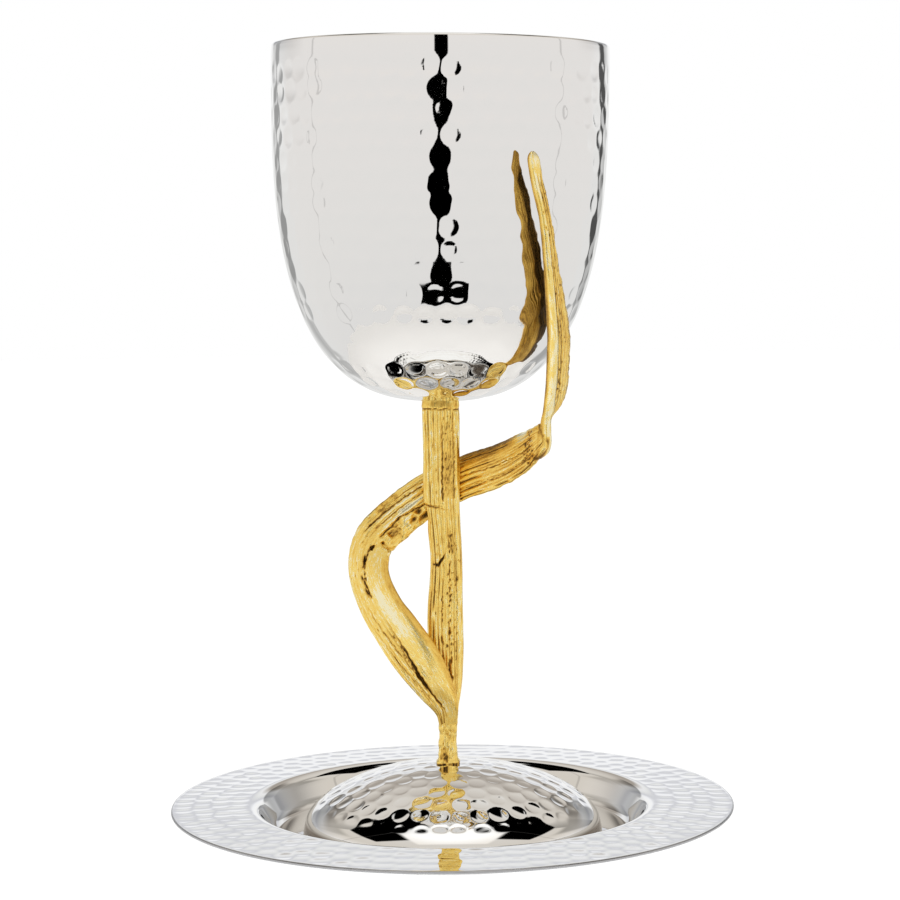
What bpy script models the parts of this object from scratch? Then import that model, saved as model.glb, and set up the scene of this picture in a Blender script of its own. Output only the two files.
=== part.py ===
# Elijah cup: a hammered steel goblet on a cast leaf stem, standing on its own saucer.
# Metres, +Z up. The origin is the middle of the saucer's underside, on the table.
# The front, where the leaf passes before the bowl, looks along -Y.

import math

import bmesh
import bpy
from mathutils import Vector

MM = 0.001

# Saucer: one turned sheet, with a wide flat rim round a smooth well.
SAUCER_RADIUS = 82.5 * MM
SAUCER_SHEET = 0.9 * MM
WELL_RADIUS = 59.6 * MM          # where the rim turns down into the well
RIM_TOP = 9.9 * MM               # top of the rim at the well, above the table
RIM_FALL = 0.5 * MM              # how far the rim drops towards its outer edge
WELL_BEND = 3.5 * MM             # radius of both bends of the well's wall
WELL_SLOPE = math.radians(60)    # steepest slope of the well's wall

# Foot: a domed dish turned upside down, with a short skirt that stands in the well.
FOOT_RADIUS = 43.3 * MM
FOOT_SHEET = 1.2 * MM
FOOT_SHOULDER = 4.5 * MM         # height of the dome's edge above the table
FOOT_RISE = 16.3 * MM            # how far the dome rises above its edge
FOOT_SKIRT_RADIUS = 44.0 * MM    # the skirt flares out to this at its lower edge
FOOT_ROUNDNESS = 1.51            # exponent of the dome's outline
FOOT_EDGE = 0.5 * MM             # size of the softened corners above and below the skirt

# Bowl: one sheet, straight near the lip and rounded off below.
BOWL_RADIUS = 48.6 * MM
BOWL_DEPTH = 102.1 * MM
BOWL_SHEET = 1.2 * MM
BOWL_ALONG = 3.1                 # exponents of the bowl's outline, along and across
BOWL_ACROSS = 2.67
LIP_HEIGHT = 229.8 * MM          # top of the lip above the table
BOWL_OFFSET = -0.75 * MM         # the lip's centre stands this far off the saucer's axis
BOWL_LEAN = math.radians(1.04)   # the bowl is set on its stem leaning a little to +X

JOINT_GAP = 0.3 * MM             # left between pieces that touch
SEGMENTS = 52                    # steps of every turned piece
RIB_SIDES = 18                   # points round a leaf section, in and out by turns
RIB_DEPTH = 0.22 * MM            # how far the leaf's ribs stand up
SQUARENESS = 0.6                 # power that squares off a leaf section, 1 for an oval

FOOT_BASE = SAUCER_SHEET + JOINT_GAP

# The stalk's two ends, in millimetres: a joint's gap off the dome and off the bowl, whose
# lean brings its bottom a little lower on one side.
STALK_START = (FOOT_SHOULDER + FOOT_RISE + JOINT_GAP) / MM
STALK_END = (LIP_HEIGHT - BOWL_DEPTH - JOINT_GAP) / MM - 0.1

# The stem's routes, in millimetres and degrees: x, y, z of the section's middle (of its
# near edge on the blade), width, thickness, the way its face looks (from -Y towards +X)
# and how deep its face is folded along the middle.
STALK = (
    (-1.1, 0.0, STALK_START, 6.8, 6.2, 0, 0.0),
    (-1.1, 0.0, 22.4, 6.0, 5.6, 0, 0.0),
    (-1.1, 0.0, 29.0, 5.4, 5.0, 0, 0.0),
    (-0.9, 0.0, 36.5, 6.0, 5.0, 0, 0.1),
    (-0.9, 0.0, 44.0, 8.2, 5.0, 0, 0.3),
    (-1.3, 0.0, 54.0, 10.1, 5.2, 0, 0.4),
    (-1.4, 0.0, 66.0, 10.2, 5.2, 0, 0.4),
    (-0.9, 0.0, 81.0, 9.1, 5.2, 0, 0.4),
    (-1.9, 0.0, 98.6, 10.0, 5.2, 0, 0.4),
    (-1.9, 0.0, 113.3, 10.3, 5.2, 0, 0.4),
    (-2.0, 0.0, STALK_END, 10.7, 5.6, 0, 0.2),
)
LEAF = (
    (-1.1, -1.0, 30.5, 4.6, 3.2, 0, 0.2),
    (-1.4, -2.9, 37.5, 7.2, 3.0, 4, 0.7),
    (-4.9, -4.7, 44.7, 11.0, 2.7, 6, 1.1),
    (-9.5, -5.2, 52.2, 13.4, 2.6, 0, 1.3),
    (-15.1, -4.2, 60.3, 13.4, 2.6, -8, 1.1),
    (-20.4, -2.2, 68.4, 12.6, 2.7, -14, 0.7),
    (-23.6, 0.6, 77.6, 12.2, 3.0, -16, 0.2),
    (-22.4, 3.0, 85.6, 12.2, 3.1, -12, 0.0),
    (-17.4, 4.6, 91.0, 12.6, 2.9, -6, 0.2),
    (-10.0, 5.2, 97.0, 12.6, 2.6, 0, 0.4),
    (-2.0, 5.2, 101.8, 12.3, 2.5, -6, 0.4),
    (6.5, 3.6, 105.4, 12.3, 2.4, -18, 0.4),
    (14.8, -2.0, 108.8, 12.2, 2.3, -34, 0.4),
    (21.4, -9.8, 113.0, 11.2, 2.2, -46, 0.3),
    (25.3, -16.5, 117.0, 8.8, 2.2, -52, 0.0),
)
BLADE = (
    (26.3, -18.0, 113.4, 2.4, 2.6, 56, 0.0),
    (26.8, -19.0, 117.3, 2.6, 2.5, 60, 0.0),
    (27.0, -19.6, 120.4, 2.8, 2.4, 62, 0.0),
    (27.3, -20.3, 123.6, 3.4, 2.4, 64, 0.0),
    (27.6, -21.0, 126.0, 8.4, 2.5, 64, 0.1),
    (27.9, -22.0, 128.9, 10.9, 2.7, 63, 0.2),
    (28.3, -25.0, 134.7, 11.7, 2.8, 62, 0.3),
    (28.5, -31.4, 146.2, 11.6, 2.8, 62, 0.5),
    (27.9, -38.0, 157.5, 9.4, 2.6, 62, 0.5),
    (27.1, -42.6, 168.5, 7.3, 2.3, 65, 0.4),
    (26.0, -45.8, 179.3, 5.7, 2.1, 68, 0.3),
    (23.6, -48.0, 190.1, 5.4, 2.1, 68, 0.2),
    (22.5, -48.6, 197.8, 5.4, 2.1, 67, 0.0),
)


def clear_scene():
    for obj in list(bpy.data.objects):
        bpy.data.objects.remove(obj, do_unlink=True)


def make_collection(name):
    collection = bpy.data.collections.new(name)
    bpy.context.scene.collection.children.link(collection)
    return collection


def make_material(name, colour, roughness):
    """A metal, with its colour and roughness on a Principled BSDF."""
    material = bpy.data.materials.new(name)
    material.use_nodes = True
    shader = material.node_tree.nodes["Principled BSDF"]
    shader.inputs["Base Color"].default_value = (*colour, 1.0)
    shader.inputs["Metallic"].default_value = 1.0
    shader.inputs["Roughness"].default_value = roughness
    return material


def arc(centre, radius, start, end, steps):
    """Points (r, z) on an arc from the angle start to the angle end, in degrees."""
    points = []
    for i in range(steps + 1):
        angle = math.radians(start + (end - start) * i / steps)
        points.append((centre[0] + radius * math.cos(angle), centre[1] + radius * math.sin(angle)))
    return points


def turned(name, profile, material, collection):
    """A turned piece: its profile, run down the outer side, goes once round the Z axis."""
    mesh = bpy.data.meshes.new(name)
    edges = [(i, i + 1) for i in range(len(profile) - 1)]
    mesh.from_pydata([(r, 0.0, z) for r, z in profile], edges, [])
    obj = bpy.data.objects.new(name, mesh)
    collection.objects.link(obj)
    screw = obj.modifiers.new("turn", "SCREW")
    screw.angle = math.tau
    screw.steps = SEGMENTS
    screw.render_steps = SEGMENTS
    screw.use_merge_vertices = True
    screw.merge_threshold = 0.00002
    screw.use_smooth_shade = True
    mesh.materials.append(material)
    return obj


def bowl_outline(radius, depth, steps):
    """Points (r, z) from the bottom up to the lip, with the lip at z = 0."""
    points = []
    for i in range(steps + 1):
        # The angle moves slowly near the bottom, where the outline turns fastest.
        angle = math.pi / 2 * (i / steps) ** 1.15
        along = math.cos(angle) ** (2 / BOWL_ALONG)
        across = math.sin(angle) ** (2 / BOWL_ACROSS)
        points.append((radius * across, -depth * along))
    points[0] = (0.0, -depth)
    return points


def make_bowl(material, collection):
    lip = BOWL_SHEET / 2
    inner = bowl_outline(BOWL_RADIUS - BOWL_SHEET, BOWL_DEPTH - BOWL_SHEET - lip, 10)
    outer = bowl_outline(BOWL_RADIUS, BOWL_DEPTH - lip, 11)
    inner = [(r, z - lip) for r, z in inner]
    outer = [(r, z - lip) for r, z in outer]
    rounded = arc((BOWL_RADIUS - lip, -lip), lip, 180, 0, 4)[1:-1]
    bowl = turned("bowl", inner + rounded + outer[::-1], material, collection)
    bowl.location = (BOWL_OFFSET, 0.0, LIP_HEIGHT)
    bowl.rotation_euler = (0.0, BOWL_LEAN, 0.0)
    return bowl


def dome_outline(radius, rise, base, steps):
    """Points (r, z) of a dome from its top, on the axis, out to its edge."""
    points = []
    for i in range(steps + 1):
        r = math.sin(math.pi / 2 * i / steps)
        z = max(0.0, 1.0 - r * r) ** (1 / FOOT_ROUNDNESS)
        points.append((radius * r, base + rise * z))
    return points


def make_foot(material, collection):
    outer = dome_outline(FOOT_RADIUS, FOOT_RISE, FOOT_SHOULDER, 8)
    inner = dome_outline(FOOT_RADIUS - FOOT_SHEET, FOOT_RISE - FOOT_SHEET, FOOT_SHOULDER, 6)
    skirt = [
        (FOOT_RADIUS + FOOT_EDGE / 4, FOOT_SHOULDER - FOOT_EDGE),
        (FOOT_SKIRT_RADIUS, FOOT_BASE + FOOT_EDGE / 2),
        (FOOT_SKIRT_RADIUS - FOOT_EDGE / 2, FOOT_BASE),
        (FOOT_SKIRT_RADIUS - FOOT_SHEET, FOOT_BASE),
    ]
    return turned("foot", outer + skirt + inner[::-1], material, collection)


def well_section(radius_shift, height_shift, bend_in, bend_out):
    """Points (r, z) of one side of the well's wall, from the floor out to the rim."""
    slope = math.degrees(WELL_SLOPE)
    top_centre = (WELL_RADIUS + radius_shift, RIM_TOP + height_shift - bend_out)
    high = arc(top_centre, bend_out, 90, 90 + slope, 3)
    drop = (RIM_TOP - SAUCER_SHEET) - (bend_in + bend_out) * (1 - math.cos(WELL_SLOPE))
    run = drop / math.tan(WELL_SLOPE)
    low_end = (high[-1][0] - run, high[-1][1] - drop)
    low_centre = (low_end[0] - bend_in * math.sin(WELL_SLOPE), low_end[1] + bend_in * math.cos(WELL_SLOPE))
    low = arc(low_centre, bend_in, slope - 90, -90, 3)
    return (high + low)[::-1]


def make_saucer(material, collection):
    sheet = SAUCER_SHEET
    top = well_section(0.0, 0.0, WELL_BEND, WELL_BEND)
    under = well_section(0.0, -sheet, WELL_BEND + sheet, WELL_BEND - sheet)
    edge_middle = (SAUCER_RADIUS - sheet / 2, RIM_TOP - RIM_FALL - sheet / 2)
    edge = arc(edge_middle, sheet / 2, 90, -90, 4)
    profile = [(0.0, sheet)] + top + edge + under[::-1] + [(0.0, 0.0)]
    return turned("saucer", profile, material, collection)


def smooth_route(stations, samples):
    """Stations read off a Catmull-Rom curve through the given ones, evenly by length."""
    points = [tuple(s) for s in stations]
    first = tuple(2 * a - b for a, b in zip(points[0], points[1]))
    last = tuple(2 * a - b for a, b in zip(points[-1], points[-2]))
    padded = [first] + points + [last]
    spans = [math.dist(a[:3], b[:3]) for a, b in zip(points, points[1:])]
    total = sum(spans)
    route = []
    for k in range(samples):
        distance = total * k / (samples - 1)
        span = 0
        while span < len(spans) - 1 and distance > spans[span]:
            distance -= spans[span]
            span += 1
        t = min(1.0, distance / spans[span])
        p0, p1, p2, p3 = padded[span:span + 4]
        route.append(tuple(
            0.5 * (2 * b + (c - a) * t + (2 * a - 5 * b + 4 * c - d) * t * t
                   + (3 * b - a - 3 * c + d) * t * t * t)
            for a, b, c, d in zip(p0, p1, p2, p3)
        ))
    return route


def ribbed_section(width, thick, fold, edge_shift):
    """Points (u, v) round a ribbed leaf section, every second one on a rib."""
    points = []
    for i in range(RIB_SIDES):
        angle = math.tau * (i + 0.5) / RIB_SIDES
        across = math.copysign(abs(math.cos(angle)) ** SQUARENESS, math.cos(angle))
        through = math.copysign(abs(math.sin(angle)) ** SQUARENESS, math.sin(angle))
        v = through * thick / 2
        v += RIB_DEPTH * math.copysign(0.5 if i % 2 else -0.5, through)
        v += fold * (abs(across) - 0.5)
        points.append(((across - edge_shift) * width / 2, v))
    return points


def swept_leaf(name, stations, samples, edge_shift=0.0, level=False, round_end=0.0):
    """A closed strip lofted through ribbed sections along a route.

    edge_shift 0 keeps the route in the strip's middle and 1 on its edge. The sections stand
    square to the route, or lie level where level is set. round_end is the length, in
    millimetres, over which the far end is rounded off.
    """
    route = smooth_route(stations, samples)
    middles = [Vector(s[:3]) for s in route]
    length = sum((b - a).length for a, b in zip(middles, middles[1:]))
    travelled = 0.0
    bm = bmesh.new()
    rings = []
    for i, station in enumerate(route):
        if i:
            travelled += (middles[i] - middles[i - 1]).length
        along = (middles[min(i + 1, samples - 1)] - middles[max(i - 1, 0)]).normalized()
        if level:
            along = Vector((0.0, 0.0, 1.0))
        facing = math.radians(station[5])
        normal = Vector((math.sin(facing), -math.cos(facing), 0.0))
        normal = (normal - along * normal.dot(along)).normalized()
        across = normal.cross(along)
        width, thick, fold = station[3], station[4], station[6]
        left = length - travelled
        if left < round_end:
            shrink = max(0.15, math.sqrt(max(0.0, 1 - (1 - left / round_end) ** 2)))
            width, thick, fold = width * shrink, thick * max(0.4, shrink), fold * shrink
        ring = []
        for u, v in ribbed_section(width * MM, thick * MM, fold * MM, edge_shift):
            ring.append(bm.verts.new(middles[i] * MM + across * u + normal * v))
        rings.append(ring)
    for low, high in zip(rings, rings[1:]):
        for j in range(RIB_SIDES):
            k = (j + 1) % RIB_SIDES
            bm.faces.new((low[j], low[k], high[k], high[j]))
    bm.faces.new(rings[0][::-1])
    bm.faces.new(rings[-1])
    bmesh.ops.triangulate(bm, faces=bm.faces[:])
    mesh = bpy.data.meshes.new(name)
    bm.to_mesh(mesh)
    bm.free()
    return bpy.data.objects.new(name, mesh)


def make_leaf_stem(material, collection, cutters):
    """The stalk, with the curled leaf and its rising blade joined on as one casting."""
    stem = swept_leaf("leaf_stem", STALK, 21)
    collection.objects.link(stem)
    stem.data.materials.append(material)
    branches = (
        swept_leaf("leaf_guide", LEAF, 38),
        swept_leaf("blade_guide", BLADE, 30, edge_shift=1.0, level=True, round_end=2.0),
    )
    for branch in branches:
        cutters.objects.link(branch)
        branch.hide_render = True
        branch.display_type = "WIRE"
        join = stem.modifiers.new(branch.name, "BOOLEAN")
        join.operation = "UNION"
        join.solver = "EXACT"
        join.object = branch
    return stem


def main():
    clear_scene()
    parts = make_collection("elijah_cup")
    cutters = make_collection("guides")
    hammered = make_material("hammered_steel", (0.80, 0.79, 0.78), 0.05)
    polished = make_material("polished_steel", (0.82, 0.82, 0.83), 0.05)
    domed = make_material("domed_steel", (0.80, 0.79, 0.78), 0.05)
    gilt = make_material("cast_brass", (0.76, 0.52, 0.16), 0.25)
    make_bowl(hammered, parts)
    make_leaf_stem(gilt, parts, cutters)
    make_foot(domed, parts)
    make_saucer(polished, parts)


main()
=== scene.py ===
import math
from operator import itemgetter

import bpy
import numpy as np
from mathutils import Matrix, Vector
from mathutils.kdtree import KDTree


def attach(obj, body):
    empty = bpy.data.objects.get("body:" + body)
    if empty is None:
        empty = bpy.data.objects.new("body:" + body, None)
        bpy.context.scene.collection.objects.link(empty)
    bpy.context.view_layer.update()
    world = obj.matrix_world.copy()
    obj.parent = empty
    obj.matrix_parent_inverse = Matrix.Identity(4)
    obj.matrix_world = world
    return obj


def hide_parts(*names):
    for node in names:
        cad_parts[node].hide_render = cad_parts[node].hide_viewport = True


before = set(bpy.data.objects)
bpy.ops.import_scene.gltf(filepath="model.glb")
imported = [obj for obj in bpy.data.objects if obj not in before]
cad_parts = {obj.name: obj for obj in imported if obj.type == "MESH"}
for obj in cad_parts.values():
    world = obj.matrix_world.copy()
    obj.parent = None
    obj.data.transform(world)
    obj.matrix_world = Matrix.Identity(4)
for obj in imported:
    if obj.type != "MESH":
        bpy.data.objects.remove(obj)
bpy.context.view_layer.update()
mm = 0.001
print("frame loaded")


def linearFromHex(code):
    # "#rrggbb" in sRGB to the linear colour that shaders take
    values = [int(code[i:i + 2], 16) / 255 for i in (1, 3, 5)]
    linear = [v / 12.92 if v <= 0.04045 else ((v + 0.055) / 1.055) ** 2.4 for v in values]
    return (*linear, 1.0)


def addNode(tree, kind, settings, inputs):
    # inputs, by name or in order, are plain values or the sockets that feed them; gives back the
    # first output
    node = tree.nodes.new("ShaderNode" + kind)
    for key, value in settings.items():
        setattr(node, key, value)
    for key, value in inputs.items() if isinstance(inputs, dict) else enumerate(inputs):
        if isinstance(value, bpy.types.NodeSocket):
            tree.links.new(value, node.inputs[key])
        else:
            node.inputs[key].default_value = value
    return next((output for output in node.outputs if output.enabled), node)


# settings that many nodes share. The inputs of a Math or MapRange node are given in order: a
# MapRange takes a value, where it starts and ends, and what comes out there, or else 0 and 1.
add = {"operation": "ADD"}
subtract = {"operation": "SUBTRACT"}
multiply = {"operation": "MULTIPLY"}
multiplyAdd = {"operation": "MULTIPLY_ADD"}
divide = {"operation": "DIVIDE"}
maximum = {"operation": "MAXIMUM"}
absolute = {"operation": "ABSOLUTE"}
smooth = {"interpolation_type": "SMOOTHSTEP"}


def colourStops(socket, stops):
    # fills the colour ramp that a socket comes out of with (position, "#rrggbb") stops
    ramp = socket.node.color_ramp
    while len(ramp.elements) > 1:
        ramp.elements.remove(ramp.elements[0])
    for i, (position, colour) in enumerate(stops):
        element = ramp.elements.new(position) if i else ramp.elements[0]
        element.position = position
        element.color = linearFromHex(colour)


def newMaterial(name):
    # gives back its tree and shader too, and the place on the object in metres
    material = bpy.data.materials.new(name)
    material.use_nodes = True
    tree = material.node_tree
    place = tree.nodes.new("ShaderNodeTexCoord").outputs["Object"]
    return material, tree, tree.nodes["Principled BSDF"], place


def meshFromGrid(name, grid, attributes=None):
    # grid[row, column] are points in metres; columns close on themselves, and a row whose
    # points all meet becomes one vertex, so a pole is closed
    rows, columns = grid.shape[:2]
    isPole = np.ptp(grid, axis=1).max(1) < 1e-9
    kept = ~isPole[:, None] | (np.arange(columns) == 0)
    index = np.cumsum(kept).reshape(rows, columns) - 1
    low, high = index[:-1], index[1:]
    corners = np.stack([low, np.roll(low, -1, 1), np.roll(high, -1, 1), high], 2)
    faces = [tuple(dict.fromkeys(face)) for face in corners.reshape(-1, 4).tolist()]
    mesh = bpy.data.meshes.new(name)
    mesh.from_pydata(grid[kept].tolist(), [], faces)
    for key, values in (attributes or {}).items():
        layer = mesh.attributes.new(key, "FLOAT", "POINT")
        layer.data.foreach_set("value", values[kept].astype(np.float32))
    mesh.shade_smooth()
    obj = bpy.data.objects.new(name, mesh)
    bpy.context.scene.collection.objects.link(obj)
    return obj


def distances(points):
    # how far along its line each point is
    return np.concatenate([[0], np.cumsum(np.linalg.norm(np.diff(points, axis=0), axis=1))])


def resample(outline, step):
    # points (r, z) spread evenly along an outline, about a step apart
    outline = np.asarray(outline, float)
    along = distances(outline)
    count = max(2, int(round(along[-1] / step)) + 1)
    wanted = np.linspace(0, along[-1], count)
    return np.stack([np.interp(wanted, along, outline[:, i]) for i in (0, 1)], 1)


def arcPoints(centre, radius, start, end, steps):
    angles = np.radians(np.linspace(start, end, steps + 1))
    return [(centre[0] + radius * math.cos(a), centre[1] + radius * math.sin(a)) for a in angles]


def turnOutline(outline, columns):
    # the grid of an outline (r, z) turned round Z, starting at -Y and going towards +X
    turn = np.arange(columns) * math.tau / columns
    r, z = outline[:, 0][:, None], outline[:, 1][:, None]
    return np.stack([r * np.sin(turn), -r * np.cos(turn), z + 0 * turn], 2)


def gridNormals(grid):
    # unit normals of a closed-around grid that runs up its outside
    around = np.roll(grid, -1, 1) - np.roll(grid, 1, 1)
    upward = np.gradient(grid, axis=0)
    normal = np.cross(around, upward)
    length = np.linalg.norm(normal, axis=2, keepdims=True)
    return normal / np.maximum(length, 1e-12)


def pushedOut(grid, height):
    # the grid with each point moved out along its normal
    return grid + gridNormals(grid) * height[..., None]


def ease(value, low, high):
    # 0 below low, 1 above high, smooth between
    t = np.clip((value - low) / (high - low), 0, 1)
    return t * t * (3 - 2 * t)


hammerReach = (0.85, 1.15)    # spread of the marks' size


def hammerRows(outline, h):
    # blows in rings along an outline (r, z), in mm. Each has its place, tilt, bend, reach and rim.
    chance = np.random.default_rng(h["seed"])
    along = distances(outline)
    slope = np.gradient(outline, along, axis=0)
    blows = []
    last = min(h.get("lastRow", along[-1]), along[-1])
    places = np.arange(h["firstRow"], last, h["rowStep"])
    shifts = list(h.get("shifts", ())) + list(chance.uniform(-0.5, 0.5, len(places)))
    for at, shift in zip(places, shifts):
        r = np.interp(at, along, outline[:, 0])
        count = max(1, int(round(math.tau * r / h["pitch"])))
        for k in range(count):
            here = at + chance.normal(0, h["wander"])
            turn = math.tau * (k + shift + chance.normal(0, h["wander"]) / h["pitch"]) / count
            r, z = (np.interp(here, along, outline[:, i]) for i in (0, 1))
            dr, dz = (np.interp(here, along, slope[:, i]) for i in (0, 1))
            tiltRound, tiltAlong = chance.normal(0, h["tilt"], 2)
            harder = np.interp(here, *h["bendAlong"])
            blows.append((
                r * math.sin(turn), -r * math.cos(turn), z,
                tiltRound * math.cos(turn) + tiltAlong * dr * math.sin(turn),
                tiltRound * math.sin(turn) - tiltAlong * dr * math.cos(turn),
                tiltAlong * dz,
                h["bend"] * chance.uniform(*h["bendSpread"]) * harder,
                h["reach"] * chance.uniform(*hammerReach),
                h["rim"] * harder,
            ))
    return np.array(blows)


def hammerHeight(points, outline, h):
    # height of a hammered face: each blow leaves a shallow round mark, nearly flat with a steeper
    # rim, the lowest wins where marks meet, and polishing has rounded the ridges between them
    blows, softness = hammerRows(outline, h), h["softness"]
    flat = points.reshape(-1, 3)
    height = np.empty(len(flat))
    widest = blows[:, 7].max() * 1.6
    batch = 2500
    for start in range(0, len(flat), batch):
        part = flat[start:start + batch]
        low, high = part.min(0) - widest, part.max(0) + widest
        near = blows[((blows[:, :3] > low) & (blows[:, :3] < high)).all(1)]
        centres, tilt = near[:, :3], near[:, 3:6]
        bend, reach, rim = near[:, 6:].T
        apart = ((part[:, None, :] - centres[None]) ** 2).sum(2)
        share = np.minimum(apart / reach ** 2, 4)    # a mark ends at twice its reach
        mark = bend * (apart - reach ** 2) + rim * (share ** 3 - 1)
        mark += part @ tilt.T - (centres * tilt).sum(1)
        mark = np.where(share < 4, mark, 9) / softness
        lowest = np.minimum(mark.min(1, initial=0), 0)
        total = np.exp(-(mark - lowest[:, None])).sum(1) + np.exp(lowest)
        height[start:start + batch] = (lowest - np.log(total)) * softness
    return height.reshape(points.shape[:2])


# the camera stands in front, a little above the middle of the cup
cameraSetup = {
    "place": (0.00058, -0.72569, 0.17525),
    "pitch": 4.889,      # degrees down
    "roll": -0.71,
    "lens": 100.0,       # mm, on a 36 mm sensor
}


def placeCamera():
    data = bpy.data.cameras.new("camera")
    data.lens = cameraSetup["lens"]
    data.sensor_width = 36.0
    data.clip_start = 0.01
    camera = bpy.data.objects.new("camera", data)
    bpy.context.scene.collection.objects.link(camera)
    pitch, roll = math.radians(cameraSetup["pitch"]), math.radians(cameraSetup["roll"])
    forward = Vector((0, math.cos(pitch), -math.sin(pitch)))
    level = Vector((1, 0, 0))
    upright = level.cross(forward)
    right = level * math.cos(roll) + upright * math.sin(roll)
    up = upright * math.cos(roll) - level * math.sin(roll)
    turn = Matrix((right, up, -forward)).transposed()
    camera.matrix_world = Matrix.Translation(cameraSetup["place"]) @ turn.to_4x4()
    bpy.context.scene.camera = camera


placeCamera()
bpy.context.scene.view_settings.view_transform = "Standard"
print("camera placed")


# a white tent round the table, open in front for the lens, with dark openings in its top.
# Angles are in degrees, round from the front towards +X and up from level.
studioSetup = {
    "gaps": (                      # round, up, darkness
        ((-3.7, 5.3), (-34.0, 17.0), 1.0),       # the gap that the lens looks through
        ((-5.0, 9.0), (-35.0, -25.0), 1.0),      # the lens stands in its lower end
        ((-17.0, 24.0), (-40.5, -32.5), 1.0),    # wider gap under the front panels
        ((-95.8, -94.2), (-60.0, 60.0), 0.25),   # thin seams between the panels
        ((87.2, 88.8), (-60.0, 60.0), 0.25),
    ),
    "corners": (                   # back corners, which lean in towards the top:
        (-148.0, 4.6, 0.6, 0.4),       # place, half width, darkness, shade past the corner
        (145.0, 4.8, 0.9, 0.5),
    ),
    "cornerHeights": (-40.0, 34.0),
    "cornerEdge": (1.6, 0.6),      # its edge fades between these shares of its half width
    "cornerLean": 0.8,             # degrees round for each degree up
    "cornerWidens": (8.0, 0.5),    # from here up, by this much for each degree
    "cornerDark": (-10.0, 10.0),   # darkest between these heights
    "cornerPale": 0.55,            # share of the darkness that is left elsewhere
    "cornerShade": 22.0,           # how far round the shade past a corner reaches
    "sideShade": (104.0, 157.0),   # unlit side walls, darkening towards the back
    "sideShadeHeights": (5.0, 33.0),
    "sideShadeDepth": 0.62,
    "soft": {                      # how wide each soft edge is, round or sideways, then up or back
        "gaps": (0.9, 0.9),
        "corners": (9.0, 6.0),     # of the darkest heights, of all heights
        "sideShade": (4.0, 6.0),
        "openings": (0.06, 0.06),
        "panel": (0.08, 0.12),
        "frontLamp": (6.0, 1.5),
    },
    "openings": (                  # openings in the top, as run over height, sideways and back
        ((0.2, 1.07), (0.02, 0.50)),
        ((0.45, 1.07), (-0.30, 0.06)),
    ),
    "panel": ((-1.0, 0.44), (-0.6, -0.04)),    # bright panel in front of the openings
    "panelLight": 1.35,                        # times the tent's light
    "frontLamp": ((-24.0, 24.0), (17.0, 29.0)),    # brighter strip over the gap, round and up
    "frontLampLight": 1.04,
    "backWall": (0.45, 0.85),      # how far back a direction points where the back wall begins
    "wallTones": (                 # degrees up, colour
        (-90, "#e4e4e4"), (-12, "#eeecea"), (4, "#f0edeb"), (12, "#f2eeeb"), (20, "#ece6df"),
        (32, "#ded7cd"), (58, "#e2ddd6"), (72, "#f4f3f1"),
    ),
    "backTones": (                 # the same for the wall behind the table
        (-90, "#e4e4e4"), (-2, "#ececeb"), (5, "#ffffff"), (10, "#fbfcff"), (13, "#d6d7dd"),
        (17, "#eceded"), (20, "#f6f6f8"), (23, "#d5d2cf"), (26, "#aaa299"), (31, "#b4aca3"),
        (38, "#c9c2ba"), (50, "#d8d2ca"), (72, "#f4f3f1"),
    ),
}


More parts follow.
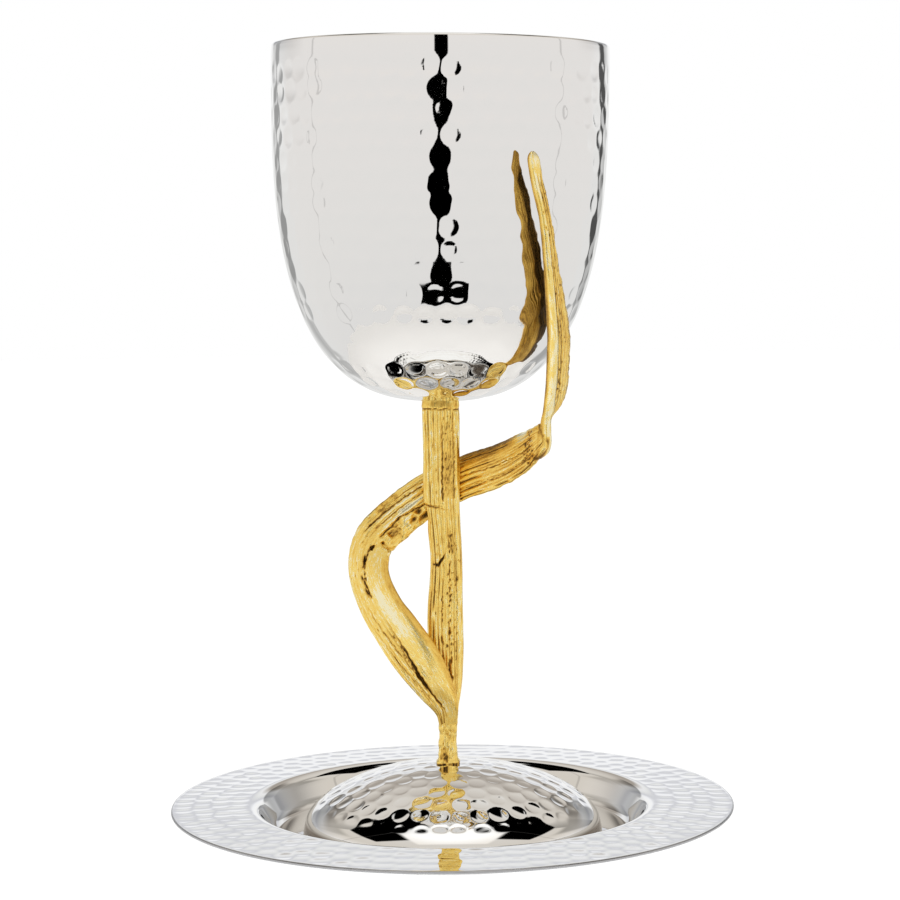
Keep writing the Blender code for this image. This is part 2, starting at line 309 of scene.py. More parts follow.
def makeStudio():
    s = studioSetup
    world = bpy.data.worlds.new("tent")
    bpy.context.scene.world = world
    world.use_nodes = True
    tree = world.node_tree
    tree.nodes.clear()
    direction = tree.nodes.new("ShaderNodeTexCoord").outputs["Generated"]
    addNode(tree, "SeparateXYZ", {"name": "parts"}, (direction,))
    x, y, z = tree.nodes["parts"].outputs
    front = addNode(tree, "Math", multiply, (y, -1.0))
    turn = addNode(tree, "Math", {"operation": "ARCTAN2"}, (x, front))
    around = addNode(tree, "Math", {"operation": "DEGREES"}, (turn,))
    rise = addNode(tree, "Math", {"operation": "ARCSINE"}, (z,))
    height = addNode(tree, "Math", {"operation": "DEGREES"}, (rise,))

    def band(value, low, high, soft, strength=1.0):
        # strength from low to high, 0 outside, with edges soft wide
        half = soft / 2
        up = addNode(tree, "MapRange", smooth, (value, low - half, low + half, 0.0, strength))
        down = addNode(tree, "MapRange", smooth, (value, high + half, high - half))
        return addNode(tree, "Math", multiply, (up, down))

    def patch(sideways, upward, wide, tall, soft, strength=1.0):
        # the same over a rectangle of directions
        bands = (band(sideways, *wide, soft[0], strength), band(upward, *tall, soft[1]))
        return addNode(tree, "Math", multiply, bands)

    soft = s["soft"]
    darkParts = [patch(around, height, *gap[:2], soft["gaps"], gap[2]) for gap in s["gaps"]]
    # the back corners are narrow and dark near level, wide and pale higher up
    above = addNode(tree, "Math", maximum, (height, 0.0))
    lean = addNode(tree, "Math", multiply, (above, s["cornerLean"]))
    high = addNode(tree, "Math", subtract, (above, s["cornerWidens"][0]))
    high = addNode(tree, "Math", maximum, (high, 0.0))
    level = band(height, *s["cornerDark"], soft["corners"][0], 1 - s["cornerPale"])
    depth = addNode(tree, "Math", add, (level, s["cornerPale"]))
    reach = band(height, *s["cornerHeights"], soft["corners"][1])
    depth = addNode(tree, "Math", multiply, (depth, reach))
    for side, halfWidth, darkness, shade in s["corners"]:
        mirrored = addNode(tree, "Math", multiply, (around, math.copysign(1, side)))
        leaning = addNode(tree, "Math", add, (mirrored, lean))
        past = addNode(tree, "Math", subtract, (leaning, abs(side)))
        away = addNode(tree, "Math", absolute, (past,))
        wide = addNode(tree, "Math", multiplyAdd, (high, s["cornerWidens"][1], halfWidth))
        share = addNode(tree, "Math", divide, (away, wide))
        edge = s["cornerEdge"]
        line = addNode(tree, "MapRange", smooth, (share, *edge, 0.0, darkness))
        darkParts.append(addNode(tree, "Math", multiply, (line, depth)))
        fading = addNode(tree, "MapRange", smooth, (past, 0.0, s["cornerShade"], shade, 0.0))
        behind = addNode(tree, "MapRange", smooth, (past, -0.5, 0.5))
        darkParts.append(addNode(tree, "Math", multiply, (fading, behind)))
    # the unlit stretch of wall on each side, high up
    aside = addNode(tree, "Math", absolute, (around,))
    start, end = s["sideShade"]
    deepening = addNode(tree, "MapRange", {}, (aside, start, end, 0.0, s["sideShadeDepth"]))
    shade = patch(aside, height, (start - 10, end), s["sideShadeHeights"], soft["sideShade"])
    darkParts.append(addNode(tree, "Math", multiply, (shade, deepening)))
    # dark openings in the top, to both sides of the panel over the table
    up = addNode(tree, "Math", maximum, (z, 0.02))    # so that nothing is divided by 0
    runX = addNode(tree, "Math", divide, (x, up))
    overX = addNode(tree, "Math", absolute, (runX,))
    overY = addNode(tree, "Math", divide, (y, up))
    darkParts += [patch(overX, overY, *opening, soft["openings"]) for opening in s["openings"]]
    dark = darkParts[0]
    for part in darkParts[1:]:
        dark = addNode(tree, "Math", maximum, (dark, part))
    light = addNode(tree, "Math", subtract, (1.0, dark))
    # the panel before the openings and the strip over the gap are lit more
    panel = patch(overX, overY, *s["panel"], soft["panel"], s["panelLight"] - 1)
    lamp = patch(around, height, *s["frontLamp"], soft["frontLamp"], s["frontLampLight"] - 1)
    glow = addNode(tree, "Math", maximum, (panel, lamp))
    glow = addNode(tree, "Math", add, (glow, 1.0))
    strength = addNode(tree, "Math", multiply, (light, glow))
    share = addNode(tree, "Math", multiplyAdd, (height, 1 / 180, 0.5))
    walls = []
    for key in ("wallTones", "backTones"):
        walls.append(addNode(tree, "ValToRGB", {}, (share,)))
        colourStops(walls[-1], [(0.5 + angle / 180, colour) for angle, colour in s[key]])
    farBack = addNode(tree, "MapRange", smooth, (y, *s["backWall"]))
    # inputs 6 and 7 are the two colours
    tone = addNode(tree, "Mix", {"data_type": "RGBA"}, {0: farBack, 6: walls[0], 7: walls[1]})
    tent = addNode(tree, "Background", {}, (tone, strength))
    # behind the cup the camera sees plain white paper
    paper = addNode(tree, "Background", {}, ((1, 1, 1, 1), 1.0))
    seen = addNode(tree, "LightPath", {}, {})
    mixed = addNode(tree, "MixShader", {}, (seen, tent, paper))
    addNode(tree, "OutputWorld", {}, (mixed,))


# the table, and the floor past it
floorSetup = {
    "colour": "#f2f2f2",
    "roughness": 0.9,
    "tableRadius": 0.205,       # m
    "floorRadius": 3.0,
    "sides": 96,
    "drop": 0.00002,            # m below the saucer's base, so that the two don't touch
    "glowFrom": (0.08, 0.2),    # m from the middle
    "glow": (0.46, 0.30),       # light that the card gives back there
    "lift": (0.86, 1.1),        # share of plain white the camera sees on it, and how bright
}


def makeFloor():
    # matt white card: soft and even, lifted where the camera looks at it directly
    f = floorSetup
    material, tree, shader, place = newMaterial("matt white card")
    shader.inputs["Base Color"].default_value = linearFromHex(f["colour"])
    shader.inputs["Roughness"].default_value = f["roughness"]
    shader.inputs["Specular IOR Level"].default_value = 0.0
    shader.inputs["Emission Color"].default_value = (1, 1, 1, 1)
    addNode(tree, "VectorMath", {"operation": "LENGTH", "name": "middle"}, (place,))
    middle = tree.nodes["middle"].outputs["Value"]
    glow = addNode(tree, "MapRange", smooth, (middle, *f["glowFrom"], *f["glow"]))
    tree.links.new(glow, shader.inputs["Emission Strength"])
    lifted = addNode(tree, "Emission", {}, ((1, 1, 1, 1), f["lift"][1]))
    seen = addNode(tree, "LightPath", {}, {})
    share = addNode(tree, "Math", multiply, (seen, f["lift"][0]))
    mixed = addNode(tree, "MixShader", {}, (share, shader.outputs[0], lifted))
    tree.links.new(mixed, tree.nodes["Material Output"].inputs["Surface"])
    turn = np.arange(f["sides"]) * math.tau / f["sides"]
    ring = np.stack([np.sin(turn), -np.cos(turn), 0 * turn - f["drop"]], 1)
    table, edge = f["tableRadius"], f["floorRadius"]
    for name, inner, outer in (("tableTop", 0.0, table), ("floorAround", table, edge)):
        floor = meshFromGrid(name, np.stack([ring * (outer, outer, 1), ring * (inner, inner, 1)]))
        floor.data.materials.append(material)
        floor.visible_glossy = name == "tableTop"   # reflections see the tent past the table


makeStudio()
makeFloor()
print("studio made")


# Polished 18/10 stainless steel: near-white mirror, with the faint haze and hairlines that a
# buffing wheel leaves
steelSetup = {
    "colour": "#efefee",
    "roughness": (0.015, 0.05),
    "satin": (0.24, 0.34),       # inside the bowl, left as it was spun
    "hazeSize": 18.0,            # mm, patches of softer polish
    "hairlineApart": 0.5,        # mm, drawn coarser than the real 0.05 mm so that it shows
    "hairlineLong": 14,          # times as long as they are apart
    "hairlineDepth": 0.0006,     # mm, polished
    "satinDepth": 0.0072,        # mm, as spun
}


def makeSteel(name, shadeBand=None, satin=False, colour=steelSetup["colour"]):
    s = steelSetup
    material, tree, shader, place = newMaterial(name)
    shader.inputs["Base Color"].default_value = linearFromHex(colour)
    shader.inputs["Metallic"].default_value = 1.0
    if shadeBand:
        # a band by height, in mm, painted a darker, warmer grey: painted shade, standing in for
        # dark reflections low down
        low, high = shadeBand[0][0], shadeBand[-1][0]
        addNode(tree, "SeparateXYZ", {"name": "place"}, (place,))
        up = tree.nodes["place"].outputs["Z"]
        share = addNode(tree, "MapRange", {}, (up, low * mm, high * mm))
        tone = addNode(tree, "ValToRGB", {}, (share,))
        colourStops(tone, [((at - low) / (high - low), colour) for at, colour in shadeBand])
        tree.links.new(tone, shader.inputs["Base Color"])
    haze = addNode(tree, "TexNoise", {}, {
        "Vector": place, "Scale": 1000 / s["hazeSize"], "Detail": 3.0,
    })
    least, most = s["satin" if satin else "roughness"]
    # the noise itself stays between about 0.35 and 0.7
    rough = addNode(tree, "MapRange", {}, (haze, 0.35, 0.7, least, most))
    tree.links.new(rough, shader.inputs["Roughness"])
    long = s["hairlineLong"]
    lines = addNode(tree, "Mapping", {}, {"Vector": place, "Scale": (1.0, 1.0, long)})
    hairs = addNode(tree, "TexNoise", {}, {
        "Vector": lines, "Scale": 1000 / s["hairlineApart"] / long, "Detail": 2.0,
    })
    depth = s["satinDepth" if satin else "hairlineDepth"] * mm
    bump = addNode(tree, "Bump", {}, {"Height": hairs, "Distance": depth})
    tree.links.new(bump, shader.inputs["Normal"])
    return material


# saucer: one turned sheet, with shallow facets hammered in rings round its rim
saucerSetup = {
    "radius": 82.5,
    "sheet": 0.9,
    "edgeShadeColour": "#b4b6ba",     # the rim's edge painted a darker grey: painted shade along it
    "edgeStart": 0.42,           # share of the sheet from the edge where that satin, painted darker edge begins
    "wellRadius": 59.6,          # where the rim turns down into the well
    "rimTop": 9.9,
    "rimFall": 0.5,              # the rim slopes down this much to its edge
    "wellBend": 3.5,             # radius of the bends above and below the well's wall
    "wellSlope": 60,             # degrees
    "columns": 600,
    "rowSteps": (1.1, 0.75, 2.4),    # mm between mesh rows: well, rim, underside
    "smoothEdges": (2.0, 1.8, 0.6),  # plain past the well, and before the edge from, to
    "hammer": {
        "seed": 6,
        "firstRow": 3.0,     # first ring past the well's edge
        "lastRow": 21.0,
        "rowStep": 5.4,
        "pitch": 6.0,
        "wander": 0.3,
        "bend": 0.01,
        "bendSpread": (0.5, 1.5),
        "bendAlong": ((0, 30), (1, 1)),
        "tilt": 0.006,
        "rim": 0.011,
        "reach": 3.0,
        "softness": 0.006,
    },
}


def wellWall(shift, bendIn, bendOut):
    # one side of the well's wall, from the floor out to the rim
    s = saucerSetup
    slope = math.radians(s["wellSlope"])
    middle = (s["wellRadius"], s["rimTop"] + shift - bendOut)
    high = arcPoints(middle, bendOut, 90, 90 + s["wellSlope"], 12)
    drop = (s["rimTop"] - s["sheet"]) - (bendIn + bendOut) * (1 - math.cos(slope))
    foot = (high[-1][0] - drop / math.tan(slope), high[-1][1] - drop)
    middle = (foot[0] - bendIn * math.sin(slope), foot[1] + bendIn * math.cos(slope))
    low = arcPoints(middle, bendIn, s["wellSlope"] - 90, -90, 12)
    return (high + low)[::-1]


def makeSaucer():
    s = saucerSetup
    sheet, bend = s["sheet"], s["wellBend"]
    wellStep, rimStep, underStep = s["rowSteps"]
    wall = wellWall(0, bend, bend)
    middle = (s["radius"] - sheet / 2, s["rimTop"] - s["rimFall"] - sheet / 2)
    edge = arcPoints(middle, sheet / 2, 90, -90, 8)
    under = wellWall(-sheet, bend + sheet, bend - sheet)[::-1] + [(0, 0)]
    well = resample([(0, sheet)] + wall, wellStep)
    rim = resample([wall[-1], edge[0]], rimStep)
    below = resample(edge[-1:] + under, underStep)
    outline = np.concatenate([well[:-1], rim, edge[1:-1], below])[::-1]
    grid = turnOutline(outline, s["columns"])
    last = len(outline) - len(well) + 1
    first = last - len(rim)
    face = grid[first:last]
    height = hammerHeight(face, rim, s["hammer"])
    r = np.linalg.norm(face[:, :, :2], axis=2)
    pastWell, fadeFrom, fadeTo = s["smoothEdges"]
    height *= ease(r, s["wellRadius"], s["wellRadius"] + pastWell)
    height *= 1 - ease(r, s["radius"] - fadeFrom, s["radius"] - fadeTo)
    grid[first:last] = pushedOut(face, height)
    saucer = meshFromGrid("saucerDish", grid * mm)
    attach(saucer, "root")
    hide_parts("saucer")
    saucer.data.materials.append(makeSteel("polished stainless steel"))
    # painted shade: the edge gets a darker grey colour, and a satin finish
    shadedEdge = makeSteel("satin steel edge with painted shade", satin=True, colour=s["edgeShadeColour"])
    saucer.data.materials.append(shadedEdge)
    flatEdge = (s["radius"] - sheet * s["edgeStart"]) * mm
    for face in saucer.data.polygons:
        face.material_index = int(face.center.xy.length > flatEdge)


makeSaucer()
print("saucer made")


# foot: a domed dish turned upside down, hammered in rings, on a short plain skirt
footSetup = {
    "radius": 43.3,
    "sheet": 1.2,
    "shoulder": 4.5,         # height of the dome's rim
    "rise": 16.3,
    "skirtRadius": 44.0,
    "roundness": 1.51,       # 2 would be a true ellipse
    "edge": 0.5,             # step between dome and skirt
    "base": 0.95,            # it stands on the well's floor
    # painted shade: the skirt darker and warmer towards its base
    "skirtShadeTones": (          # mm up, colour
        (0.9, "#3d362f"), (1.6, "#766d65"), (4.0, "#928980"), (4.9, "#efefee"),
    ),
    "columns": 540,
    "rowSteps": (0.52, 0.7, 1.6),    # mm between mesh rows: dome, skirt, inside
    "hammer": {
        "seed": 9,
        "firstRow": 3.2,
        "lastRow": 42.0,
        "rowStep": 5.5,
        "pitch": 5.7,
        "wander": 0.3,
        "bend": 0.02,
        "bendSpread": (0.8, 1.2),
        "bendAlong": ((0, 24, 36, 45), (1, 1, 1.5, 1.5)),
        "tilt": 0.02,
        "rim": 0.05,
        "reach": 2.6,
        "softness": 0.007,
        "smoothEdge": (39.0, 43.0),   # the pattern fades out between these, along the dome
    },
}


def domeOutline(thinner, step):
    # from the top down to the shoulder; thinner by the sheet on the inside
    f = footSetup
    r = np.sin(np.linspace(0, math.pi / 2, 401))
    z = np.maximum(0, 1 - r * r) ** (1 / f["roundness"])
    outline = [(f["radius"] - thinner) * r, f["shoulder"] + (f["rise"] - thinner) * z]
    return resample(np.stack(outline, 1), step)


def makeFoot():
    f = footSetup
    domeStep, skirtStep, insideStep = f["rowSteps"]
    outer = domeOutline(0, domeStep)
    inner = domeOutline(f["sheet"], insideStep)
    skirt = resample([
        (f["radius"] + f["edge"] / 4, f["shoulder"] - f["edge"]),
        (f["skirtRadius"], f["base"] + f["edge"] / 2),
        (f["skirtRadius"] - f["edge"] / 2, f["base"]),
        (f["skirtRadius"] - f["sheet"], f["base"]),
    ], skirtStep)
    outline = np.concatenate([outer, skirt, inner[::-1]])
    grid = turnOutline(outline[::-1], f["columns"])
    rows = len(outer)
    face = grid[-rows:]
    along = np.linspace(1, 0, rows) * distances(outer)[-1]
    height = hammerHeight(face, outer, f["hammer"])
    height = (height - height.mean()) * (1 - ease(along, *f["hammer"]["smoothEdge"]))[:, None]
    height[-1] = height[-1].mean()
    grid[-rows:] = pushedOut(face, height)
    foot = meshFromGrid("footDome", grid * mm)
    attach(foot, "root")
    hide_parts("foot")
    foot.data.materials.append(makeSteel("hammered stainless steel dome", f["skirtShadeTones"]))


makeFoot()
print("foot made")


# bowl: one sheet, straight near the lip and rounded off below, hammered in rings
bowlSetup = {
    "radius": 48.6,
    "depth": 102.1,
    "sheet": 1.2,
    "along": 3.1,            # how square its profile is, up the side
    "across": 2.67,          # and across the bottom; 2 and 2 would be an ellipse
    "lipHeight": 229.78,
    "offset": -0.75,         # the lip's middle, along X
    "lean": 1.04,            # degrees, towards +X
    "columns": 420,
    "rowSteps": (0.72, 3.2),     # mm between mesh rows: outside, inside
    "hammer": {
        "seed": 4,
        "firstRow": 8.1,     # first row below the lip
        "rowStep": 6.2,
        "pitch": 6.1,        # from blow to blow, round a row
        "shifts": (          # how far the first rows are turned, as a share of the pitch
            -0.4, -0.2, 0.1, -0.5, 0.0, 0.0, 0.07, 0.4, 0.5, 0.1, -0.15, 0.43, 0.5, 0.28, -0.1,
        ),
        "wander": 0.3,       # how far a blow strays
        "bend": 0.0102,      # a mark rises bend * distance squared
        "bendSpread": (0.75, 1.25),
        "tilt": 0.014,       # how far a mark leans, as a slope
        "rim": 0.045,        # mm, how much more its edge rises
        "bendAlong": (       # mm below the lip, and how hard the blows are there
            (0, 26, 32, 66, 71, 77, 81, 90, 93, 150),
            (1.3, 1.3, 1, 1, 1.5, 1.7, 0.2, 0.2, 1.8, 2.2),
        ),
        "reach": 2.75,       # radius of a mark
        "softness": 0.004,   # how far polishing has rounded the ridges
        "smoothLip": 2.5,    # plain band below the lip
    },
}


def bowlOutline(thinner, step):
    # from the bottom up to the lip, with the lip at z = 0; thinner by the sheet on the inside
    b = bowlSetup
    angle = math.pi / 2 * np.linspace(0, 1, 2001) ** 1.15    # closer together at the bottom
    along = np.maximum(0, np.cos(angle)) ** (2 / b["along"])
    across = np.sin(angle) ** (2 / b["across"])
    depth = b["depth"] - b["sheet"] / 2
    outline = [(b["radius"] - thinner) * across, -(depth - thinner) * along]
    return resample(np.stack(outline, 1), step)


def makeBowl():
    b = bowlSetup
    lip = b["sheet"] / 2
    outer = bowlOutline(0, b["rowSteps"][0])
    inner = bowlOutline(b["sheet"], b["rowSteps"][1])
    rounded = np.array(arcPoints((b["radius"] - lip, 0), lip, 0, 180, 8))[1:-1]
    outline = np.concatenate([outer, rounded, inner[::-1]]) - (0, lip)
    grid = turnOutline(outline, b["columns"])
    downward = outer[::-1] - (0, lip)
    rows = len(outer)
    face = grid[:rows]
    height = hammerHeight(face, downward, b["hammer"])
    below = distances(downward)[-1] * (1 - np.arange(rows) / (rows - 1))
    height = (height - height.mean()) * ease(below, 0, b["hammer"]["smoothLip"])[:, None]
    height[0] = height[0].mean()
    grid[:rows] = pushedOut(face, height)
    bowl = meshFromGrid("bowlShell", grid * mm)
    bowl.location = (b["offset"] * mm, 0, b["lipHeight"] * mm)
    bowl.rotation_euler = (0, math.radians(b["lean"]), 0)
    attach(bowl, "root")
    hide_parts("bowl")
    bowl.data.materials.append(makeSteel("hammered stainless steel"))
    bowl.data.materials.append(makeSteel("satin spun stainless steel", satin=True))
    # faces that look towards a point in the cavity are the inside
    cavity = Vector((0, 0, -b["depth"] * 0.4 * mm))
    for face in bowl.data.polygons:
        face.material_index = int(face.normal.dot(face.center - cavity) < 0)


makeBowl()
print("bowl made")


# leaf stem: the stalk, the curled leaf and its rising blade, cast in brass as one piece.
# Stations are x, y, z of the section's middle (of its near edge on the blade), width and
# thickness in mm, the way its face looks in degrees from -Y towards +X, and its fold.
stemSetup = {
    "squareness": 0.6,       # of a section: 1 would be an ellipse, 0 a rectangle
    "fullDark": (0.27, 0.3),     # mm deep where a rib's and a groove's dirt is darkest
    "joints": {"reach": 0.9, "dark": 0.8, "above": (37.0, 46.0)},    # painted shade and patina between strips, mm
    "stalk": {
        "rows": 280,
        "columns": 104,
        "ribs": {"apart": 1.15, "width": 0.16, "depth": 0.24, "wander": 0.18, "crown": 0.12},
        "stations": (
            (-1.1, 0, 20.3, 7.0, 6.4, 0, 0),
            (-1.1, 0, 21.1, 6.6, 6.0, 0, 0),
            (-1.1, 0, 22.4, 5.8, 5.4, 0, 0),
            (-1.1, 0, 29, 5.2, 4.8, 0, 0),
            (-0.9, 0, 36.5, 6, 5, 0, 0.1),
            (-0.9, 0, 44, 8.2, 5, 0, 0.3),
            (-1.3, 0, 54, 10.1, 5.2, 0, 0.4),
            (-1.4, 0, 66, 10.2, 5.2, 0, 0.4),
            (-0.9, 0, 81, 9.1, 5.2, 0, 0.4),
            (-1.9, 0, 98.6, 10, 5.2, 0, 0.4),
            (-1.9, 0, 113.3, 10.3, 5.2, 0, 0.4),
            (-2, 0, 127.8, 10.7, 5.6, 0, 0.2),
        ),
    },
    "leaf": {
        "rows": 350,
        "columns": 116,
        "lead": 3.6,              # mm of the strip hidden in the stalk, before its relief starts
        "lean": (88, 134, 1.1),   # the top edge leans back from, to, and how far
        "ribs": {"apart": 1.1, "width": 0.16, "depth": 0.26, "wander": 0.22, "crown": 0.11},
        "stations": (
            (-1.1, 0.3, 27.5, 3.4, 2.2, 0, 0),
            (-1.2, -1.2, 33.0, 5.0, 2.6, 2, 0.2),
            (-1.6, -2.9, 38.0, 7.4, 2.8, 4, 0.4),
            (-4.9, -4.7, 44.7, 11, 2.7, 6, 0.5),
            (-9.5, -5.2, 52.2, 13.4, 2.6, 0, 0.6),
            (-15.1, -4.2, 60.3, 13.4, 2.6, -8, 0.5),
            (-20.4, -2.2, 68.4, 12.6, 2.7, -14, 0.3),
            (-23.6, 0.6, 77.6, 12.2, 3, -16, 0.1),
            (-22.4, 3, 85.6, 12.2, 3.1, -12, 0),
            (-17.4, 4.6, 91, 12.6, 2.9, -6, 0.1),
            (-10, 5.2, 97, 12.6, 2.6, 0, 0.2),
            (-2, 5.2, 101.8, 12.3, 2.5, -6, 0.2),
            (6.5, 3.6, 105.4, 12.3, 2.4, -18, 0.2),
            (14.8, -2, 108.8, 12.2, 2.3, -34, 0.2),
            (21.4, -9.8, 113, 11.2, 2.2, -46, 0.1),
            (25.3, -16.5, 117, 8.8, 2.2, -52, 0),
            (27.0, -19.2, 118.6, 7.4, 2.0, -56, 0),
        ),
    },
    "blade": {
        "rows": 240,
        "columns": 84,
        "lead": 2.6,
        "edgeShift": 1.0,      # the route is the near edge
        "level": True,         # sections lie level
        "roundEnd": 3.0,       # mm over which the tip is rounded off
        "ribs": {"apart": 1.1, "width": 0.16, "depth": 0.22, "wander": 0.2, "crown": 0.09},
        "stations": (
            (25.0, -16.6, 111.7, 1.6, 1.8, 50, 0),
            (26.2, -18.0, 113.4, 2.8, 2.8, 54, 0),
            (26.8, -19, 116.2, 3.2, 3.2, 58, 0),
            (27, -19.6, 119.6, 3.1, 3.0, 62, 0),
            (27.3, -20.3, 123.4, 3.4, 2.5, 64, 0),
            (27.6, -21, 126, 8.4, 2.5, 64, 0.1),
            (27.9, -22, 128.9, 10.9, 2.7, 63, 0.2),
            (28.3, -25, 134.7, 11.7, 2.8, 62, 0.2),
            (28.5, -31.4, 146.2, 11.6, 2.8, 62, 0.3),
            (27.9, -38, 157.5, 9.4, 2.6, 62, 0.3),
            (27.1, -42.6, 168.5, 7.3, 2.3, 65, 0.2),
            (26, -45.8, 179.3, 5.3, 2.1, 62, 0.2),
            (23.6, -48, 190.1, 4.3, 2.1, 52, 0.1),
            (22.5, -48.6, 197.8, 3.7, 2.1, 44, 0),
        ),
    },
}


def noise(x, y, seed):
    # smooth random heights from -1 to 1, a new one at each whole x and y until the table repeats
    m, n = 83, 97
    table = np.random.default_rng(seed).uniform(-1, 1, (m, n))
    x, y = np.broadcast_arrays(x, y)
    i, j = np.floor(x).astype(int), np.floor(y).astype(int)
    u, v = x - i, y - j
    u, v = u * u * (3 - 2 * u), v * v * (3 - 2 * v)
    low = table[i % m, j % n] * (1 - u) + table[(i + 1) % m, j % n] * u
    high = table[i % m, (j + 1) % n] * (1 - u) + table[(i + 1) % m, (j + 1) % n] * u
    return low * (1 - v) + high * v


def within(value, low, high, soft):
    # 1 from low to high, easing to 0 over soft at both ends
    rise = np.clip((value - low) / soft + 0.5, 0, 1)
    fall = np.clip((high - value) / soft + 0.5, 0, 1)
    return rise * rise * (3 - 2 * rise) * fall * fall * (3 - 2 * fall)


def routeOf(stations, rows):
    # a Catmull-Rom curve through the stations, read off evenly by length
    points = np.array(stations, float)
    padded = np.vstack([2 * points[0] - points[1], points, 2 * points[-1] - points[-2]])
    spans = np.linalg.norm(np.diff(points[:, :3], axis=0), axis=1)
    ends = np.concatenate([[0], np.cumsum(spans)])
    along = np.linspace(0, ends[-1], rows)
    k = np.clip(np.searchsorted(ends, along, side="right") - 1, 0, len(spans) - 1)
    t = ((along - ends[k]) / spans[k])[:, None]
    a, b, c, d = padded[k], padded[k + 1], padded[k + 2], padded[k + 3]
    bend = (2 * a - 5 * b + 4 * c - d) * t ** 2 + (3 * b - a - 3 * c + d) * t ** 3
    return along, 0.5 * (2 * b + (c - a) * t + bend)


def sectionShape(columns):
    # a squared-off oval evenly stepped round, as shares of half its width and half its thickness
    power = stemSetup["squareness"]
    turn = np.linspace(0, math.tau, 4001)
    across = np.sign(np.cos(turn)) * np.abs(np.cos(turn)) ** power
    through = np.sign(np.sin(turn)) * np.abs(np.sin(turn)) ** power
    # most sections are about four times as wide as thick
    travel = np.concatenate([[0], np.cumsum(np.hypot(np.diff(across) * 4, np.diff(through)))])
    wanted = (np.arange(columns) + 0.5) / columns * travel[-1]
    return np.interp(wanted, travel, across), np.interp(wanted, travel, through)


def startSkin(along, width, q, t):
    # a strip laid flat: s along and x across in mm, q the share across from -1 to 1, front 1 on
    # its face and 0 on its back, and the height and darkening that its relief changes in place
    s, q = np.broadcast_arrays(along[:, None], q[None, :])
    return {
        "s": s,
        "q": q,
        "x": q * width[:, None] / 2,
        "half": lambda at: np.interp(at, along, width) / 2,
        "front": np.broadcast_to(np.clip(t / 0.5 + 0.5, 0, 1)[None, :], s.shape),
        "height": np.zeros(s.shape),
        "hollow": np.zeros(s.shape),
    }


def darken(skin, amount):
    # antiquing stays in the hollows, and painted shade is laid the same way; where there is more
    # already, that stays
    np.maximum(skin["hollow"], amount, out=skin["hollow"])


def addRibs(skin, ribs, strength, seed):
    # grooves like leaf veins run the whole length of both faces, stray a little, fade in and out,
    # and leave rounded ribs between them; dirt stays in them
    chance = np.random.default_rng(seed)
    s, x = skin["s"], skin["x"]
    wide = skin["half"](skin["s"][:, 0]).max()
    count = int(round(2 * wide / ribs["apart"]))
    for side, mask in ((0, skin["front"]), (50, 1 - skin["front"])):
        cut = np.zeros(s.shape)
        nearest = np.full(s.shape, 9.0)
        for k in range(count):
            place = -1 + 2 * (k + 0.5 + chance.uniform(-0.3, 0.3)) / count
            stray = noise(s / 16, k * 7.3 + side, seed)
            stray = stray + 0.2 * noise(s / 2.4, k * 5.1 + side, seed + 1)
            far = np.abs(x - place * skin["half"](s) - ribs["wander"] * stray)
            fade = np.clip(0.6 + 0.7 * noise(s / 4.5, k * 3.7 + side, seed + 2), 0.05, 1)
            depth = ribs["depth"] * chance.uniform(0.5, 1.3) * fade
            cut = np.maximum(cut, depth * np.exp(-(far / ribs["width"]) ** 2))
            nearest = np.minimum(nearest, far)
        crown = ribs["crown"] * (1 - np.exp(-(nearest / (0.36 * ribs["apart"])) ** 2))
        skin["height"] += (crown - cut) * strength * mask
        darken(skin, np.clip(cut / stemSetup["fullDark"][0], 0, 1) * strength * mask)


def cutGroove(skin, path, dark):
    # path points are distance along, share across, half width and depth; it wavers a little
    s = skin["s"] + 0.22 * noise(skin["s"] / 0.8, skin["x"] / 0.8, 31)
    x = skin["x"] + 0.22 * noise(skin["s"] / 0.8, skin["x"] / 0.8, 32)
    deepest = np.zeros(s.shape)
    for (s0, q0, wide0, deep0), (s1, q1, wide1, deep1) in zip(path, path[1:]):
        x0, x1 = q0 * skin["half"](s0), q1 * skin["half"](s1)
        run, rise = s1 - s0, x1 - x0
        t = np.clip(((s - s0) * run + (x - x0) * rise) / (run ** 2 + rise ** 2), 0, 1)
        far = np.hypot(s - s0 - t * run, x - x0 - t * rise)
        depth = (deep0 + (deep1 - deep0) * t) * np.exp(-(far / (wide0 + (wide1 - wide0) * t)) ** 2)
        deepest = np.maximum(deepest, depth)
    deepest = deepest * skin["front"]
    skin["height"] -= deepest
    darken(skin, dark * np.clip(deepest / stemSetup["fullDark"][1], 0, 1))


def sinkPits(skin, path, count, spread, size, depth, dark, seed):
    # casting pits strewn along a path of (distance along, share across), longer than wide
    chance = np.random.default_rng(seed)
    path = np.array(path, float)
    for _ in range(count):
        s0 = chance.uniform(path[0, 0], path[-1, 0])
        x0 = np.interp(s0, path[:, 0], path[:, 1]) * skin["half"](s0) + chance.normal(0, spread)
        wide = size * chance.uniform(0.6, 1.3)
        long = wide * chance.uniform(1.2, 3.2)
        far = ((skin["s"] - s0) / long) ** 2 + ((skin["x"] - x0) / wide) ** 2
        deep = np.exp(-far) * skin["front"] * chance.uniform(0.6, 1.0)
        skin["height"] -= depth * deep
        darken(skin, dark * np.clip(1.6 * deep, 0, 1))


def stainPatch(skin, sRange, qRange, soft, dark, drop=0.0):
    # a patch where the antiquing was left, sunk a little where drop is set
    edge = 0.5 * noise(skin["s"] / 1.1, skin["x"] / 1.1, 41)
    sMask = within(skin["s"] + edge, *sRange, soft)
    qMask = within(skin["q"] + edge / 5, *qRange, soft / 6)
    patch = sMask * qMask * skin["front"]
    mottle = 0.75 + 0.5 * noise(skin["s"] / 0.7, skin["x"] / 0.4, 42)
    skin["height"] -= drop * patch
    darken(skin, dark * patch * np.clip(mottle, 0, 1.2))


def shadeBack(skin, dark):
    # the back painted darker: painted shade on the side turned from the light
    uneven = 1 + 0.3 * noise(skin["s"] / 3, skin["x"] / 2, 43)
    darken(skin, (1 - skin["front"]) * dark * uneven)


